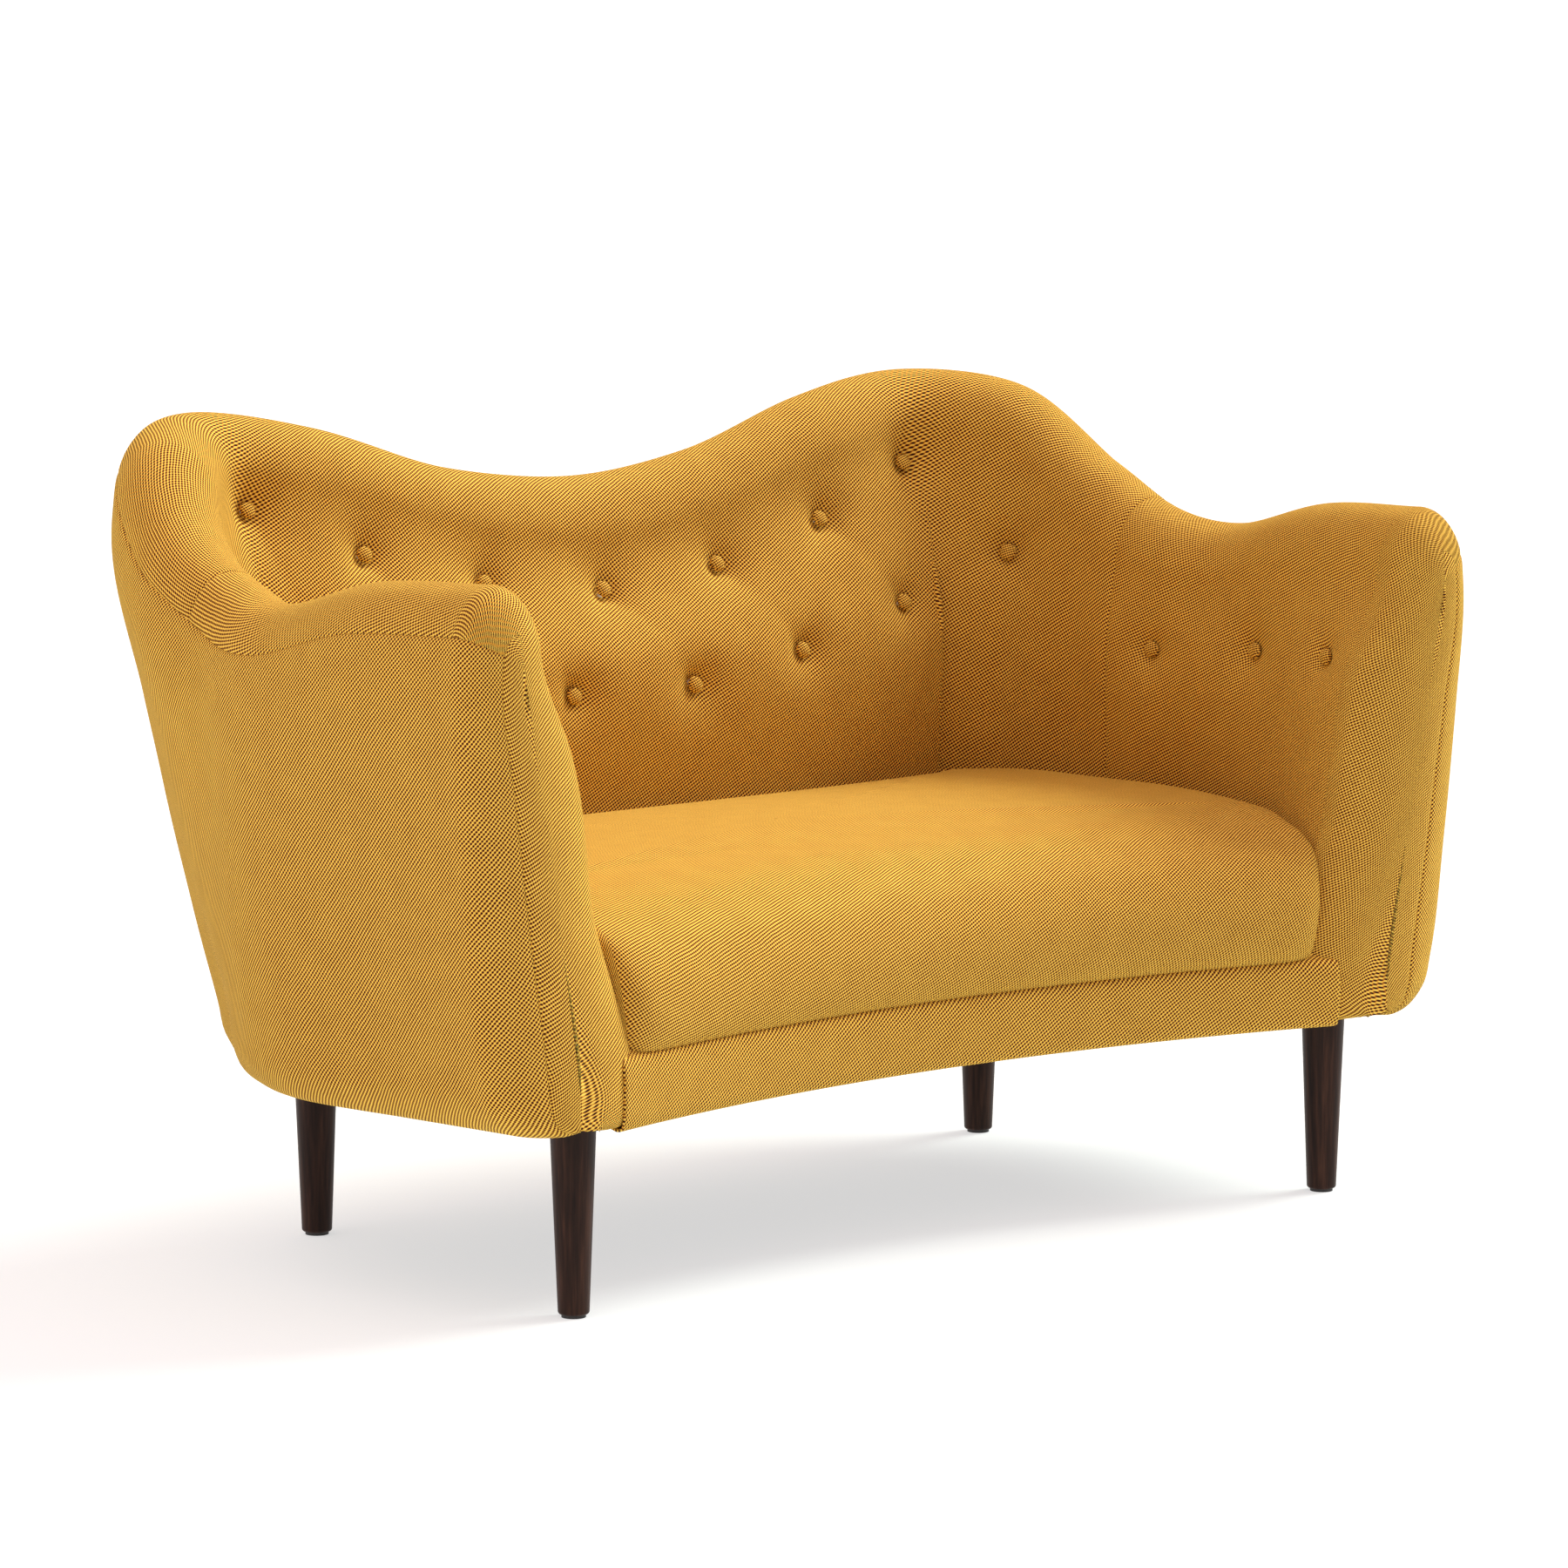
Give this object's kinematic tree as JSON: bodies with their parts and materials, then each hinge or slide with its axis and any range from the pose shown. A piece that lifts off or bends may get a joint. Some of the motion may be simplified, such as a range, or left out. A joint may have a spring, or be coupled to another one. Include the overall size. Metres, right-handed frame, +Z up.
{
  "type": "two-seat sofa",
  "caption": "Upholstered small sofa: a button-tufted back with a double-humped crest wraps into rounded arms round a tight seat with a hollow front, on round tapered wooden legs.",
  "frame": {"origin": "on the floor, in the middle of the sofa's width and depth", "axes": "+X to the left hand of a person sitting on it, along the sofa's length; +Y to the back; +Z up"},
  "size_m": [1.3836, 0.7802, 0.8323],
  "materials": {
    "upholstery": "mustard two-tone hopsack wool weave, matt with a soft sheen",
    "button_fabric": "same mustard weave drawn tight over a button",
    "walnut": "dark walnut, straight grain, satin oil finish",
    "beech": "planed beech, raw",
    "dowel_beech": "fluted beech dowel, raw",
    "webbing": "woven elastic webbing",
    "deck_cloth": "jute cloth",
    "foam": "open-cell upholstery foam",
    "black_cloth": "thin black dust cloth",
    "twine": "waxed linen twine",
    "washer_steel": "stamped steel",
    "zinc_steel": "zinc-plated steel",
    "glide": "dark nylon"
  },
  "bodies": {
    "root": {"front_seat_rail": "beech", "rear_seat_rail": "beech", "side_seat_rail_left": "beech", "side_seat_rail_right": "beech", "centre_stretcher": "beech", "leg_blocks": "beech", "top_back_rail": "beech", "back_middle_rails": "beech", "back_post_left": "beech", "back_post_right": "beech", "corner_post_left": "beech", "corner_post_right": "beech", "arm_rear_post_left": "beech", "arm_rear_post_right": "beech", "arm_front_post_left": "beech", "arm_front_post_right": "beech", "arm_rail_left": "beech", "arm_rail_right": "beech", "frame_dowels": "dowel_beech", "seat_straps_long": "webbing", "seat_straps_cross": "webbing", "back_straps": "webbing", "arm_straps": "webbing", "seat_deck": "deck_cloth", "seat_foam": "foam", "back_pad": "foam", "arm_pad_left": "foam", "arm_pad_right": "foam", "seat_cover": "upholstery", "front_border": "upholstery", "inside_back_cover": "upholstery", "inside_arm_cover_left": "upholstery", "inside_arm_cover_right": "upholstery", "outside_back_cover": "upholstery", "outside_arm_cover_left": "upholstery", "outside_arm_cover_right": "upholstery", "bottom_cover": "black_cloth", "buttons_upper_row": "button_fabric", "buttons_lower_row": "button_fabric", "buttons_arm_left": "button_fabric", "buttons_arm_right": "button_fabric", "tufting_twine": "twine", "twine_washers": "washer_steel", "leg_front_left": "walnut", "leg_front_right": "walnut", "leg_rear_left": "walnut", "leg_rear_right": "walnut", "hanger_bolts": "zinc_steel", "tee_nuts": "zinc_steel", "leg_glides": "glide"}
  },
  "joints": []
}
